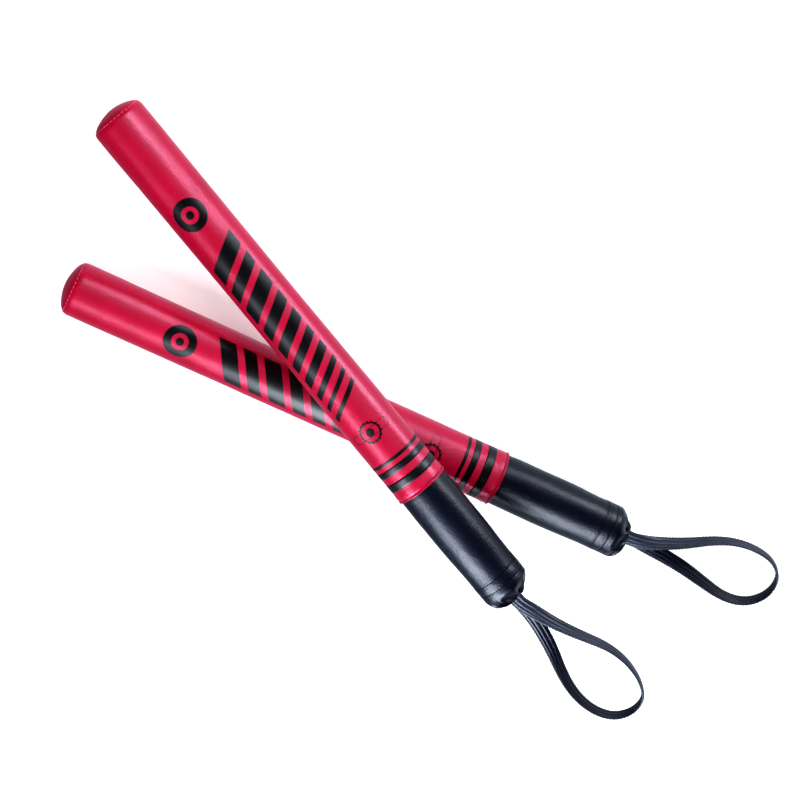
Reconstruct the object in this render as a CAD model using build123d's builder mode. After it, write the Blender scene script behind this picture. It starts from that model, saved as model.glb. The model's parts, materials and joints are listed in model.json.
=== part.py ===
from build123d import *
import os
from dataclasses import dataclass
from math import asin, atan2, cos, hypot, pi, radians, sin, sqrt, tan

# A pair of padded focus training sticks, lying crossed on a flat surface.
# Millimetres, +Z up, floor at Z = 0. Distances "along" a stick run from the middle
# of its tip seam towards the butt, and "out" is the distance from its centre line.

# Blade: the long padded part that is struck
BLADE_R = 25.5
BLADE_LENGTH = 435.0
COVER_WALL = 1.4
SEAM_R = 23.3
SHOULDER_LENGTH = 6.5
DOME_RISE = 7.1
CAP_WALL = 1.2

# Handle: a thinner cover, slightly barrelled, that starts under the blade cover's hem
HEM_OVERLAP = 12.0
HANDLE_WALL = 1.2
HANDLE_BARREL_R = 24.9
HANDLE_BARREL_AT = 485.0
HANDLE_END_R = 23.8
HANDLE_END_AT = 536.0
HANDLE_COVER_END = 549.0

# Gathered end: a collar sewn over the handle cover and drawn in round the strap
COLLAR_START = 539.6
COLLAR_R = 24.1
COVER_STEP_LENGTH = 1.1
GATHER_START = 556.0
GATHER_MIDDLE = (567.5, 19.0)
MOUTH_R = 7.8
MOUTH_AT = 573.0

# Stiff core, its two plugs and the pin that holds the strap
TUBE_R = 12.5
BORE_R = 10.0
FLANGE_THICKNESS = 2.0
TUBE_START = 14.0
TUBE_END = 549.0
TIP_SPIGOT = 15.0
BUTT_SPIGOT = 18.0
BUTT_FLANGE = 3.0
PLUG_CHAMFER = 1.0
PIN_R = 2.0
PIN_HALF_LENGTH = 12.2
PIN_AT = 541.0
HOLE_OVERRUN = 1.0

# Sewing thread, laid in a shallow groove and a little proud of the cover
THREAD_R = 0.35
THREAD_PROUD = 0.15
HEM_STITCH_FROM_EDGE = 2.2
TIP_STITCH_AT = 1.2
COLLAR_STITCHES_AT = (541.4, 551.0)
GATHER_THREAD_R = 0.8
GATHER_THREAD_PLACE = (568.0, 10.4)

# Wrist strap: a flat strap whose two ends are pinned inside the butt; outside it is a loop
STRAP_WIDTH = 14.0
STRAP_THICKNESS = 3.0
TAIL_GAP = 0.2
SLOT_CLEARANCE = 0.2
TAIL_START = 533.0
LOOP_START = 577.5
LOOP_R = 3.5
ARC_SHARE = 0.45

# How the two sticks lie: headings about +Z from +X, and where they cross
LOWER_HEADING = -25.7
UPPER_HEADING = -50.3
CROSSING = (45.0, -90.6)
LOWER_REACH = 333.0
UPPER_REACH = 397.0
CONTACT_GAP = 0.3
TILT_ROUNDS = 30

# Loop routes: straight runs that are joined by tangent arcs
LOWER_ROUTE = [
    (265.3, -196.6, 29.7),
    (281.4, -200.1, 28.0),
    (300.4, -202.1, 24.0),
    (322.4, -203.4, 18.5),
    (344.4, -203.1, 13.5),
    (366.4, -206.1, 9.5),
    (386.4, -214.1, 8.0),
    (402.4, -226.1, 7.5),
    (409.4, -242.6, 7.5),
    (403.4, -258.6, 7.5),
    (389.4, -268.6, 7.6),
    (372.4, -270.1, 8.2),
    (354.4, -262.6, 9.6),
    (337.4, -248.6, 12.0),
    (319.4, -233.1, 15.0),
    (300.4, -219.1, 18.2),
    (282.4, -207.6, 20.6),
    (265.3, -196.6, 21.7),
]
UPPER_ROUTE = [
    (156.8, -225.2, 108.1),
    (168.9, -231.6, 108.8),
    (184.9, -242.1, 107.5),
    (201.9, -252.6, 104.8),
    (219.8, -262.1, 102.2),
    (237.6, -271.3, 99.5),
    (252.8, -283.3, 96.8),
    (265.0, -298.5, 93.5),
    (273.7, -315.4, 90.5),
    (277.5, -332.7, 88.5),
    (268.5, -346.8, 88.0),
    (251.8, -352.5, 89.3),
    (235.1, -347.0, 92.0),
    (219.8, -334.7, 95.0),
    (207.0, -317.7, 97.8),
    (197.7, -298.8, 99.8),
    (190.3, -279.9, 101.0),
    (181.4, -260.7, 101.3),
    (170.4, -242.1, 100.8),
    (156.8, -225.2, 100.1),
]

foam_r = BLADE_R - COVER_WALL
shoulder_arc_r = (SHOULDER_LENGTH**2 + (BLADE_R - SEAM_R) ** 2) / (2 * (BLADE_R - SEAM_R))
dome_r = (SEAM_R**2 + DOME_RISE**2) / (2 * DOME_RISE)
handle_inner_r = foam_r - HANDLE_WALL
collar_inner_r = COLLAR_R - HANDLE_WALL
hem_start = BLADE_LENGTH - HEM_OVERLAP
step_start = COLLAR_START - COVER_STEP_LENGTH
tube_front = TUBE_START - FLANGE_THICKNESS


@dataclass
class Stick:
    """One stick's name prefix and its place."""

    prefix: str
    tip: Vector
    heading: float
    tilt: float

    @property
    def along(self):
        flat = cos(self.tilt)
        return Vector(flat * cos(self.heading), flat * sin(self.heading), sin(self.tilt))

    @property
    def side(self):
        return Vector(sin(self.heading), -cos(self.heading), 0)

    @property
    def axis(self):
        return Axis(self.tip, self.along)

    @property
    def section(self):
        """The plane of the turned outlines: X runs along the stick and Y runs out."""
        return Plane(origin=self.tip, x_dir=self.along, z_dir=self.side)

    def across(self, distance):
        """The plane square to the stick at a distance along it: Y points upwards."""
        middle = self.tip + self.along * distance
        return Plane(origin=middle, x_dir=self.side * -1, z_dir=self.along)

    def pin_plane(self):
        """The plane through the pin's middle whose normal points upwards."""
        return Plane(origin=self.tip + self.along * PIN_AT, x_dir=self.along, z_dir=self.across(0).y_dir)

    def save(self, part, name):
        part.label = f"{self.prefix}_{name}"
        export_step(part, f"parts/{part.label}.step")


def shoulder_point(wall, share):
    """A point of the rounded shoulder at a depth of wall, from 0 at the seam to 1 at the blade."""
    r = shoulder_arc_r - wall
    angle = asin(SHOULDER_LENGTH / r) * (1 - share)
    return (SHOULDER_LENGTH - r * sin(angle), BLADE_R - shoulder_arc_r + r * cos(angle))


def dome_point(wall, share):
    """A point of the domed tip at a depth of wall, from 0 on the centre line to 1 at the seam."""
    r = dome_r - wall
    centre = dome_r - DOME_RISE
    angle = atan2(sqrt(r**2 - centre**2), centre) * share
    return (centre - r * cos(angle), r * sin(angle))


def handle_points(depth):
    """Start, middle and end of the barrelled handle's outline, at a depth under its surface."""
    return (
        (BLADE_LENGTH, foam_r - depth),
        (HANDLE_BARREL_AT, HANDLE_BARREL_R - depth),
        (HANDLE_END_AT, HANDLE_END_R - depth),
    )


def gather_points(depth):
    """Start, middle and end of the drawn-in end's outline, at a depth under its surface."""
    along, out = GATHER_MIDDLE
    lean = depth / sqrt(2)
    return (
        (GATHER_START, COLLAR_R - depth),
        (along - lean, out - lean),
        (MOUTH_AT - depth, MOUTH_R),
    )


def ring_at(stick, along, out, radius, mode=Mode.ADD):
    """A round ring about the stick, added to or cut from the part that is being made."""
    with BuildSketch(stick.section) as ring:
        with Locations((along, out)):
            Circle(radius)
    revolve(ring.sketch, axis=stick.axis, mode=mode)


def tip_cap(stick):
    with BuildPart() as cap:
        with BuildSketch(stick.section):
            with BuildLine():
                ThreePointArc(*(dome_point(0, share) for share in (0, 0.5, 1)))
                Line(dome_point(0, 1), dome_point(CAP_WALL, 1))
                ThreePointArc(*(dome_point(CAP_WALL, share) for share in (1, 0.5, 0)))
                Line(dome_point(CAP_WALL, 0), dome_point(0, 0))
            make_face()
        revolve(axis=stick.axis)
    stick.save(cap.part, "tip_cap")


def tip_pad(stick):
    with BuildPart() as pad:
        with BuildSketch(stick.section):
            with BuildLine():
                ThreePointArc(*(dome_point(CAP_WALL, share) for share in (0, 0.5, 1)))
                Line(dome_point(CAP_WALL, 1), shoulder_point(COVER_WALL, 0))
                ThreePointArc(*(shoulder_point(COVER_WALL, share) for share in (0, 0.5, 1)))
                Polyline(
                    (SHOULDER_LENGTH, foam_r), (tube_front, foam_r), (tube_front, 0), dome_point(CAP_WALL, 0)
                )
            make_face()
        revolve(axis=stick.axis)
    stick.save(pad.part, "tip_pad")


def blade_cover(stick):
    with BuildPart() as cover:
        with BuildSketch(stick.section):
            with BuildLine():
                ThreePointArc(*(shoulder_point(0, share) for share in (0, 0.5, 1)))
                Polyline(
                    (SHOULDER_LENGTH, BLADE_R),
                    (BLADE_LENGTH, BLADE_R),
                    (BLADE_LENGTH, foam_r),
                    (SHOULDER_LENGTH, foam_r),
                )
                ThreePointArc(*(shoulder_point(COVER_WALL, share) for share in (1, 0.5, 0)))
                Line(shoulder_point(COVER_WALL, 0), shoulder_point(0, 0))
            make_face()
        revolve(axis=stick.axis)
        ring_at(stick, *hem_stitch(), THREAD_R, Mode.SUBTRACT)
        ring_at(stick, *tip_stitch(), THREAD_R, Mode.SUBTRACT)
    stick.save(cover.part, "blade_cover")


def hem_stitch():
    return (BLADE_LENGTH - HEM_STITCH_FROM_EDGE, BLADE_R + THREAD_PROUD - THREAD_R)


def tip_stitch():
    """The tip stitch lies on the rounded shoulder, close behind the seam."""
    rise = sqrt(shoulder_arc_r**2 - (SHOULDER_LENGTH - TIP_STITCH_AT) ** 2)
    return (TIP_STITCH_AT, BLADE_R - shoulder_arc_r + rise + THREAD_PROUD - THREAD_R)


def collar_stitches():
    return [(along, COLLAR_R + THREAD_PROUD - THREAD_R) for along in COLLAR_STITCHES_AT]


def thread_rings(stick, name, places, radius):
    """One node of separate thread rings."""
    with BuildPart() as threads:
        for along, out in places:
            ring_at(stick, along, out, radius)
    stick.save(threads.part, name)


def blade_foam(stick):
    with BuildPart() as foam:
        with BuildSketch(stick.across(tube_front)):
            Circle(foam_r)
            Circle(TUBE_R, mode=Mode.SUBTRACT)
        extrude(amount=hem_start - tube_front)
    stick.save(foam.part, "blade_foam")


def handle_cover(stick):
    outer = handle_points(0)
    inner = handle_points(HANDLE_WALL)
    with BuildPart() as cover:
        with BuildSketch(stick.section):
            with BuildLine():
                Line((hem_start, foam_r), outer[0])
                ThreePointArc(*outer)
                Polyline(
                    outer[2],
                    (step_start, collar_inner_r),
                    (HANDLE_COVER_END, collar_inner_r),
                    (HANDLE_COVER_END, collar_inner_r - HANDLE_WALL),
                    (step_start, collar_inner_r - HANDLE_WALL),
                    inner[2],
                )
                ThreePointArc(*reversed(inner))
                Polyline(inner[0], (hem_start, handle_inner_r), (hem_start, foam_r))
            make_face()
        revolve(axis=stick.axis)
    stick.save(cover.part, "handle_cover")


def handle_foam(stick):
    outline = handle_points(HANDLE_WALL)
    with BuildPart() as foam:
        with BuildSketch(stick.section):
            with BuildLine():
                Line((hem_start, handle_inner_r), outline[0])
                ThreePointArc(*outline)
                Polyline(
                    outline[2],
                    (step_start, collar_inner_r - HANDLE_WALL),
                    (HANDLE_COVER_END, collar_inner_r - HANDLE_WALL),
                    (HANDLE_COVER_END, TUBE_R),
                    (hem_start, TUBE_R),
                    (hem_start, handle_inner_r),
                )
            make_face()
        revolve(axis=stick.axis)
    stick.save(foam.part, "handle_foam")


def end_collar(stick):
    outer = gather_points(0)
    inner = gather_points(HANDLE_WALL)
    with BuildPart() as collar:
        with BuildSketch(stick.section):
            with BuildLine():
                Polyline((COLLAR_START, collar_inner_r), (COLLAR_START, COLLAR_R), outer[0])
                ThreePointArc(*outer)
                Line(outer[2], inner[2])
                ThreePointArc(*reversed(inner))
                Line(inner[0], (COLLAR_START, collar_inner_r))
            make_face()
        revolve(axis=stick.axis)
        for place in collar_stitches():
            ring_at(stick, *place, THREAD_R, Mode.SUBTRACT)
    stick.save(collar.part, "end_collar")


def butt_pad(stick):
    outline = gather_points(HANDLE_WALL)
    flange_back = TUBE_END + BUTT_FLANGE
    with BuildPart() as pad:
        with BuildSketch(stick.section):
            with BuildLine():
                Polyline((TUBE_END, TUBE_R), (TUBE_END, collar_inner_r), outline[0])
                ThreePointArc(*outline)
                Polyline(outline[2], (flange_back, MOUTH_R), (flange_back, TUBE_R), (TUBE_END, TUBE_R))
            make_face()
        revolve(axis=stick.axis)
        ring_at(stick, *GATHER_THREAD_PLACE, GATHER_THREAD_R, Mode.SUBTRACT)
    stick.save(pad.part, "butt_pad")


def core_tube(stick):
    with BuildPart() as tube:
        with BuildSketch(stick.across(TUBE_START)):
            Circle(TUBE_R)
            Circle(BORE_R, mode=Mode.SUBTRACT)
        extrude(amount=TUBE_END - TUBE_START)
        pin_hole(stick)
    stick.save(tube.part, "core_tube")


def pin_hole(stick):
    """The cross hole for the strap pin, cut from the part that is being made."""
    with BuildSketch(stick.pin_plane()) as hole:
        Circle(PIN_R)
    extrude(hole.sketch, amount=TUBE_R + HOLE_OVERRUN, both=True, mode=Mode.SUBTRACT)


def tip_plug(stick):
    with BuildPart() as plug:
        with BuildSketch(stick.across(tube_front)):
            Circle(TUBE_R)
        extrude(amount=FLANGE_THICKNESS)
        with BuildSketch(stick.across(TUBE_START)):
            Circle(BORE_R)
        extrude(amount=TIP_SPIGOT)
        chamfer(plug.edges().sort_by(stick.axis)[-1], PLUG_CHAMFER)
    stick.save(plug.part, "tip_plug")


def butt_plug(stick):
    slot_height = 2 * STRAP_THICKNESS + TAIL_GAP + SLOT_CLEARANCE
    with BuildPart() as plug:
        with BuildSketch(stick.across(TUBE_END - BUTT_SPIGOT)):
            Circle(BORE_R)
        extrude(amount=BUTT_SPIGOT)
        chamfer(plug.edges().sort_by(stick.axis)[0], PLUG_CHAMFER)
        with BuildSketch(stick.across(TUBE_END)):
            Circle(TUBE_R)
        extrude(amount=BUTT_FLANGE)
        with BuildSketch(stick.across(TUBE_END - BUTT_SPIGOT)):
            Rectangle(STRAP_WIDTH + 2 * SLOT_CLEARANCE, slot_height)
        extrude(amount=BUTT_SPIGOT + BUTT_FLANGE, mode=Mode.SUBTRACT)
        pin_hole(stick)
    stick.save(plug.part, "butt_plug")


def strap_tails(stick):
    """The strap's two ends, one on the other, from inside the plug out to the mouth."""
    offset = (STRAP_THICKNESS + TAIL_GAP) / 2
    with BuildPart() as tails:
        with BuildSketch(stick.across(TAIL_START)):
            with Locations((0, offset), (0, -offset)):
                Rectangle(STRAP_WIDTH, STRAP_THICKNESS)
        extrude(amount=MOUTH_AT - TAIL_START)
        pin_hole(stick)
    stick.save(tails.part, "strap_tails")


def strap_pin(stick):
    with BuildPart() as pin:
        with BuildSketch(stick.pin_plane()):
            Circle(PIN_R)
        extrude(amount=PIN_HALF_LENGTH, both=True)
    stick.save(pin.part, "strap_pin")


def arc_radii(route):
    """As large an arc at each corner as its two runs allow."""
    points = [Vector(*point) for point in route]
    radii = []
    for before, corner, after in zip(points, points[1:], points[2:]):
        turn = radians((corner - before).get_angle(after - corner))
        shorter = min((corner - before).length, (after - corner).length)
        radii.append(ARC_SHARE * shorter / tan(turn / 2))
    return radii


def wrist_strap(stick, route):
    """The loop outside the butt, as a plain round tube along its centre line."""
    radii = arc_radii(route)
    with BuildPart() as strap:
        with BuildLine() as path:
            FilletPolyline(*route, radius=radii)
        with BuildSketch(Plane(origin=path.line @ 0, z_dir=path.line % 0)):
            Circle(LOOP_R)
        sweep()
    length = sum(edge.length for edge in path.edges())
    fullness = strap.part.volume / (pi * LOOP_R**2 * length)
    print(stick.prefix, "loop length", round(length, 1), "arc radii", [round(r, 1) for r in radii])
    print(stick.prefix, "volume over section times length", round(fullness, 4))
    stick.save(strap.part, "wrist_strap")


def unit_gap(tilt):
    """The distance between the two centre lines per millimetre of height between them where they cross."""
    turn = radians(UPPER_HEADING - LOWER_HEADING)
    return cos(tilt) * abs(sin(turn)) / hypot(sin(tilt), cos(tilt) * sin(turn))


def tip_height(tilt):
    """The height of a tilted stick's centre line at its tip seam, with the shoulder on the floor."""
    return (BLADE_R - shoulder_arc_r) * cos(tilt) - SHOULDER_LENGTH * sin(tilt) + shoulder_arc_r


def resting_tilt():
    """The tilt at which the upper stick's tip is on the floor and its blade rests on the lower one."""
    tilt = 0.0
    for _ in range(TILT_ROUNDS):
        rise = (2 * BLADE_R + CONTACT_GAP) / unit_gap(tilt) + BLADE_R + THREAD_PROUD - tip_height(tilt)
        tilt = atan2(rise, UPPER_REACH)
    return tilt


def place(prefix, heading, reach, tilt, height):
    """A stick that passes the crossing at reach from its tip, both measured in plan."""
    heading = radians(heading)
    tip = Vector(CROSSING[0] - reach * cos(heading), CROSSING[1] - reach * sin(heading), height)
    return Stick(prefix, tip, heading, tilt)


def build_stick(stick, route):
    tip_cap(stick)
    tip_pad(stick)
    blade_cover(stick)
    blade_foam(stick)
    handle_cover(stick)
    handle_foam(stick)
    end_collar(stick)
    butt_pad(stick)
    core_tube(stick)
    tip_plug(stick)
    butt_plug(stick)
    strap_tails(stick)
    strap_pin(stick)
    thread_rings(stick, "tip_thread", [tip_stitch()], THREAD_R)
    thread_rings(stick, "hem_thread", [hem_stitch()], THREAD_R)
    thread_rings(stick, "collar_threads", collar_stitches(), THREAD_R)
    thread_rings(stick, "gather_thread", [GATHER_THREAD_PLACE], GATHER_THREAD_R)
    wrist_strap(stick, route)
    hinge = stick.tip + stick.along * LOOP_START
    print(stick.prefix, "tip", stick.tip, "along", stick.along, "loop root", hinge)


os.makedirs("parts", exist_ok=True)
upper_tilt = resting_tilt()
lower = place("lower", LOWER_HEADING, LOWER_REACH, 0.0, BLADE_R + THREAD_PROUD)
upper = place("upper", UPPER_HEADING, UPPER_REACH, upper_tilt, tip_height(upper_tilt))
build_stick(lower, LOWER_ROUTE)
build_stick(upper, UPPER_ROUTE)
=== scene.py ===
import json
import math
import random

import bmesh
import bpy
import numpy as np
from mathutils import Matrix, Vector


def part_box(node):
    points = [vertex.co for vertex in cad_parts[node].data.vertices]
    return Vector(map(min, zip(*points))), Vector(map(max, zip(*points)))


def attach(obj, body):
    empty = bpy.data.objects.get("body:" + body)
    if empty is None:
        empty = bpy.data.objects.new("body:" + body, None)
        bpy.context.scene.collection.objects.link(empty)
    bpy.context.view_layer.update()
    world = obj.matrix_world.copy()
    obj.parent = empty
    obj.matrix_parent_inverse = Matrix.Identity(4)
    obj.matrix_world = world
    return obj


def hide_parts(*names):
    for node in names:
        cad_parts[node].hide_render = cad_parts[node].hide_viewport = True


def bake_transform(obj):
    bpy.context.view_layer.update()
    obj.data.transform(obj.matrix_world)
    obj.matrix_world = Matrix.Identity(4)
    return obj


# Looks for a crossed pair of padded focus training sticks. Metres; sizes named *_MM and the
# outlines below are in millimetres. On each stick "s" runs along it from the tip seam,
# "out" is the distance from its centre line, and an angle turns from its top to its side.

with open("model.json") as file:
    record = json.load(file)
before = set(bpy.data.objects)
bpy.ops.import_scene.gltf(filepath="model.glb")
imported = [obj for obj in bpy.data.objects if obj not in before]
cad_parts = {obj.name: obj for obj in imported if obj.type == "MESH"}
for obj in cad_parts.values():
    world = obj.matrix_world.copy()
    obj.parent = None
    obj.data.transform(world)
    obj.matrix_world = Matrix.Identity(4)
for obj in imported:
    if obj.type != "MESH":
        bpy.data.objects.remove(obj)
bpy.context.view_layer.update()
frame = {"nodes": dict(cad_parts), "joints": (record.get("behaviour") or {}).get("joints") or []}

MM = 0.001
TURN = 2 * math.pi

LOOP_START_MM = 577.5        # the strap's hinge, from the tip seam
AROUND = 240                 # points round a cover

BLADE_WALL_MM = 1.4
SHOULDER_MM = 6.5            # length of the rounded shoulder behind the seam
SHOULDER_DROP_MM = 2.2
CAP_WALL_MM = 1.2
HEM_FOLD_MM = 12.0           # length of the blade cover's folded hem
TIP_STITCHES = 34
HEM_STITCHES = 52
COLLAR_STITCHES = 50
BACK_SEAM_ANGLE = math.radians(178)

BARREL_AT_MM = 483.0         # the handle's thickest place, and how fast it thins from there
BARREL_REACH_MM = 46.0
BARREL_DROP_MM = 0.55
HANDLE_LINING_MM = (22.95, 23.6, 22.4, 21.75)    # under the hem, barrel, collar and at the end
HANDLE_STEP_MM = 22.75       # the cover's outside where the collar lies over it

GATHER_START_MM = 556.0
MOUTH_HALF_WIDTH_MM = 7.0
MOUTH_HALF_HEIGHT_MM = 3.2
FOLDS = 9
THREAD_COVER_MM = 3.0        # the gathering thread's depth under the mouth, and its distance out
THREAD_REACH_MM = 11.8
FILLING_INSET_MM = 2.8       # how far the filling stays under the folds
FILLING_BORE_MM = 12.7
FILLING_THROAT_MM = 8.3

STRAP_WIDTH_MM = 14.0
STRAP_THICKNESS_MM = 2.7
STRAP_STITCH_ROWS_MM = (-2.1, 2.1, 5.2)
STRAP_STITCH_PITCH_MM = 3.4
RING_PITCH_MM = 0.85

# Loop routes, as in the CAD model, with the two legs brought together inside the mouth
LOWER_ROUTE = [
    (0.2525, -0.1904, 0.0272),
    (0.2653, -0.1966, 0.0273),
    (0.2814, -0.2001, 0.0270),
    (0.3004, -0.2021, 0.0240),
    (0.3224, -0.2034, 0.0185),
    (0.3444, -0.2031, 0.0135),
    (0.3664, -0.2061, 0.0095),
    (0.3864, -0.2141, 0.0080),
    (0.4024, -0.2261, 0.0075),
    (0.4094, -0.2426, 0.0075),
    (0.4034, -0.2586, 0.0075),
    (0.3894, -0.2686, 0.0076),
    (0.3724, -0.2701, 0.0082),
    (0.3544, -0.2626, 0.0096),
    (0.3374, -0.2486, 0.0120),
    (0.3194, -0.2331, 0.0150),
    (0.3004, -0.2191, 0.0182),
    (0.2824, -0.2076, 0.0215),
    (0.2653, -0.1966, 0.0240),
    (0.2525, -0.1904, 0.0241),
]
UPPER_ROUTE = [
    (0.1479, -0.2146, 0.1038),
    (0.1568, -0.2252, 0.1057),
    (0.1689, -0.2316, 0.1078),
    (0.1849, -0.2421, 0.1075),
    (0.2019, -0.2526, 0.1048),
    (0.2198, -0.2621, 0.1022),
    (0.2376, -0.2713, 0.0995),
    (0.2528, -0.2833, 0.0968),
    (0.2650, -0.2985, 0.0935),
    (0.2737, -0.3154, 0.0905),
    (0.2775, -0.3327, 0.0885),
    (0.2685, -0.3468, 0.0880),
    (0.2518, -0.3525, 0.0893),
    (0.2351, -0.3470, 0.0920),
    (0.2198, -0.3347, 0.0950),
    (0.2070, -0.3177, 0.0978),
    (0.1977, -0.2988, 0.0998),
    (0.1903, -0.2799, 0.1010),
    (0.1814, -0.2607, 0.1013),
    (0.1704, -0.2421, 0.1014),
    (0.1568, -0.2252, 0.1025),
    (0.1479, -0.2146, 0.1006),
]
# How the strap turns along its loop: share of its length, and its outer face's angle
# from facing up towards facing out of the loop
STRAP_TURN = [
    (0.00, 0), (0.05, 12), (0.11, 48), (0.17, 64), (0.23, 74), (0.30, 82), (0.40, 88), (0.48, 87),
    (0.555, 96), (0.635, 108), (0.715, 126), (0.80, 145), (0.88, 165), (0.95, 178), (1.00, 180),
]

# Prints, from the stick's middle line of print: (start, end) along the stick
PRINT_LINE = {"lower": math.radians(-8.5), "upper": math.radians(-3.0)}
EMBLEM_AT_MM = 109.0
EMBLEM_R_MM = 15.8
BARS_START_MM = 140.0
BARS_HALF_HEIGHT_MM = 20.0
BARS_SLANT_MM = 22.0
BAR_WIDTHS_MM = (17.0, 13.0, 17.0, 13.0, 13.0, 10.0, 10.0, 7.0, 5.0, 5.0)
BAR_GAP_MM = 7.5
BADGE_AT_MM = 363.0
BADGE_R_MM = 11.0
TAG_HALF_WIDTH_MM = 4.2
TAG_HALF_LENGTH_MM = 21.5
FILM_PROUD_MM = 0.06
FILM_DEPTH_MM = 0.22
BANDS_MM = ((393.0, 396.1), (400.5, 406.8), (413.8, 422.4))

# The photographer's place
VIEW_TARGET = Vector((0.0450, -0.0662, 0.0))
VIEW_OFFSET = Vector((0.0390, 0.9026, 2.2503))
FOCAL_LENGTH_MM = 115.94
SENSOR_MM = 36.0

# Lamps: name, place, target, size and radiance
COOL = (0.84, 0.91, 1.0)
GLOSS_LAMPS = (
    ("handle_light", (0.02, -0.56, 0.46), (0.11, -0.14, 0.04), (0.50, 0.46), 16),
    ("lower_strip", (0.33, 0.77, 0.43), (-0.19, 0.02, 0.04), (0.30, 0.30), 15),
    ("upper_strip", (1.20, 0.78, 0.20), (-0.03, 0.05, 0.06), (0.54, 0.18), 33),
    ("key_gloss", (-0.40, -0.72, 1.42), (-0.1, 0.0, 0.0), (1.3, 0.5), 0.8),
    ("tip_gloss", (-0.66, -0.56, 1.00), (-0.2, 0.15, 0.05), (0.40, 0.40), 7.0),
)
MATT_LAMPS = (
    ("key", (-0.35, -1.05, 1.23), (0.0, -0.07, 0.0), (1.6, 0.9), 4.4),
    ("back", (0.55, 0.95, 1.05), (0.0, -0.03, 0.0), (1.6, 0.9), 3.9),
    ("fill", (0.05, 0.0, 2.9), (0.05, -0.05, 0.0), (3.2, 3.2), 0.7),
)
FLOOR_SIDE = 8.0
BACKDROP_HEIGHT = 2.5


# ---------------------------------------------------------------- small maths


def bell(x, middle, width):
    return np.exp(-(((x - middle) / width) ** 2))


def ease(x, start, end):
    """Rises smoothly from 0 at start to 1 at end."""
    t = np.clip((x - start) / (end - start), 0, 1)
    return t * t * (3 - 2 * t)


def waves(seed, count, along_range, around_range):
    """Random waves over a cover, whole in number around it: rows of (along, around, phase, share)."""
    rng = random.Random(seed)
    return [
        (rng.uniform(*along_range), rng.randint(*around_range), rng.uniform(0, TURN), rng.uniform(0.5, 1))
        for _ in range(count)
    ]


def wavy(rows, s, angle):
    """The sum of the waves at each place, about -1 to 1."""
    total = np.zeros(np.broadcast(s, angle).shape)
    for along, around, phase, share in rows:
        total = total + share * np.sin(along * s + around * angle + phase)
    return total / (0.75 * len(rows)) * 1.4


def angle_gap(angle, middle):
    """The signed angle from middle, from -pi to pi."""
    return (angle - middle + math.pi) % TURN - math.pi


# ---------------------------------------------------------------- meshes


def mesh_piece(name, vertices, faces, material, smooth=True):
    mesh = bpy.data.meshes.new(name)
    mesh.from_pydata([tuple(v) for v in vertices], [], faces)
    work = bmesh.new()
    work.from_mesh(mesh)
    bmesh.ops.recalc_face_normals(work, faces=work.faces)
    work.to_mesh(mesh)
    work.free()
    mesh.polygons.foreach_set("use_smooth", [smooth] * len(mesh.polygons))
    mesh.materials.append(material)
    piece = bpy.data.objects.new(name, mesh)
    bpy.context.scene.collection.objects.link(piece)
    return piece


def loft_faces(rows, columns, first=0, close_rows=False):
    """Quads between rings of points, each ring closed; close_rows joins the last ring to the first."""
    faces = []
    for i in range(rows if close_rows else rows - 1):
        a, b = first + i * columns, first + (i + 1) % rows * columns
        for j in range(columns):
            k = (j + 1) % columns
            faces.append((a + j, a + k, b + k, b + j))
    return faces


def plate_faces(rows, columns, first=0):
    """Faces of a thin closed plate. Its rings go over the top and back under, half of the points each."""
    faces = loft_faces(rows, columns, first)
    for a in (first, first + (rows - 1) * columns):
        for j in range(columns // 2 - 1):
            faces.append((a + j, a + j + 1, a + columns - 2 - j, a + columns - 1 - j))
    return faces


def pole_faces(columns, ring_first, pole):
    return [(ring_first + j, ring_first + (j + 1) % columns, pole) for j in range(columns)]


# ---------------------------------------------------------------- sticks


class Stick:
    """A stick's centre line, found in the CAD frame, and places on it."""

    def __init__(self, prefix):
        self.prefix = prefix
        self.body = f"{prefix}_stick"
        self.strap_body = f"{prefix}_strap"
        hinge = next(j for j in frame["joints"] if j["name"] == f"{prefix}_strap_swing")
        low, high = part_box(f"{prefix}_core_tube")
        self.root = Vector(hinge["pos_m"])
        self.along = (self.root - (low + high) / 2).normalized()
        self.side = Vector((self.along.y, -self.along.x, 0)).normalized()
        self.up = self.side.cross(self.along)
        self.tip = self.root - self.along * LOOP_START_MM * MM

    def reach(self, node):
        """First and last distance along the stick, and the largest distance out, of a CAD node, in mm."""
        vertices = frame["nodes"][f"{self.prefix}_{node}"].data.vertices
        places = (np.array([v.co for v in vertices]) - np.array(self.tip)) / MM
        along = places @ np.array(self.along)
        out = np.linalg.norm(places - np.outer(along, self.along), axis=1)
        return float(along.min()), float(along.max()), float(out.max())

    def points(self, s, out, angle):
        """Places in metres, one row each, for arrays in mm and radians."""
        s, out, angle = np.broadcast_arrays(s, out, angle)
        places = (
            np.array(self.tip)
            + MM * s[..., None] * np.array(self.along)
            + MM * (out * np.cos(angle))[..., None] * np.array(self.up)
            + MM * (out * np.sin(angle))[..., None] * np.array(self.side)
        )
        places = places.reshape(-1, 3)
        # soft covers are pressed flat where the stick lies on the floor
        places[:, 2] = np.maximum(places[:, 2], 0.0002)
        return places

    def name(self, piece):
        return f"{self.prefix}_{piece}"

    def add(self, piece, slot, *nodes):
        """Rides on the stick and stands for CAD nodes. The slot is not used."""
        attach(piece, self.body)
        if nodes:
            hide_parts(*(self.name(node) for node in nodes))
        return piece


around = np.arange(AROUND) * TURN / AROUND


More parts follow.
